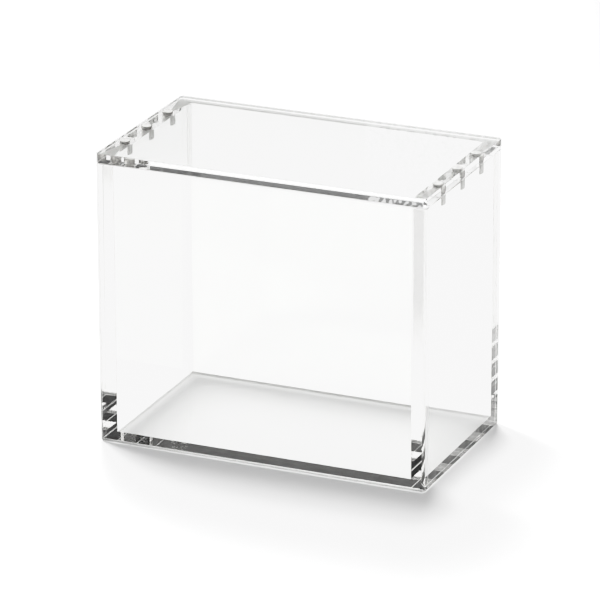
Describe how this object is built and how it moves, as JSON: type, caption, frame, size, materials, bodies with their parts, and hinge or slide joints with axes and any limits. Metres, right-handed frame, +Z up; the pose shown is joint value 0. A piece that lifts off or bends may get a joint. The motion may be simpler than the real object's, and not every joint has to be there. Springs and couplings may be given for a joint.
{
  "type": "acrylic display case",
  "caption": "Clear rectangular acrylic display case: glued base and walls, and a lift-off lid held by small round magnets in the side walls.",
  "frame": {"origin": "centre of the case's underside, on the surface it stands on", "axes": "+X along the length towards the right side wall, +Y from front to back, +Z up"},
  "size_m": [0.171, 0.0984, 0.1483],
  "materials": {
    "clear_acrylic": "clear cast acrylic, polished faces and edges",
    "nickel_plate": "nickel-plated magnet, satin"
  },
  "bodies": {
    "case": {"base_panel": "clear_acrylic", "front_panel": "clear_acrylic", "back_panel": "clear_acrylic", "left_wall": "clear_acrylic", "right_wall": "clear_acrylic", "left_wall_magnet_1": "nickel_plate", "left_wall_magnet_2": "nickel_plate", "left_wall_magnet_3": "nickel_plate", "right_wall_magnet_1": "nickel_plate", "right_wall_magnet_2": "nickel_plate", "right_wall_magnet_3": "nickel_plate"},
    "lid": {"lid_panel": "clear_acrylic", "left_lid_magnet_1": "nickel_plate", "left_lid_magnet_2": "nickel_plate", "left_lid_magnet_3": "nickel_plate", "right_lid_magnet_1": "nickel_plate", "right_lid_magnet_2": "nickel_plate", "right_lid_magnet_3": "nickel_plate"}
  },
  "joints": [
    {"name": "lid_lift", "type": "slide", "parent": "case", "child": "lid", "axis": [0, 0, 1], "range_m": [0, 0.1]}
  ]
}
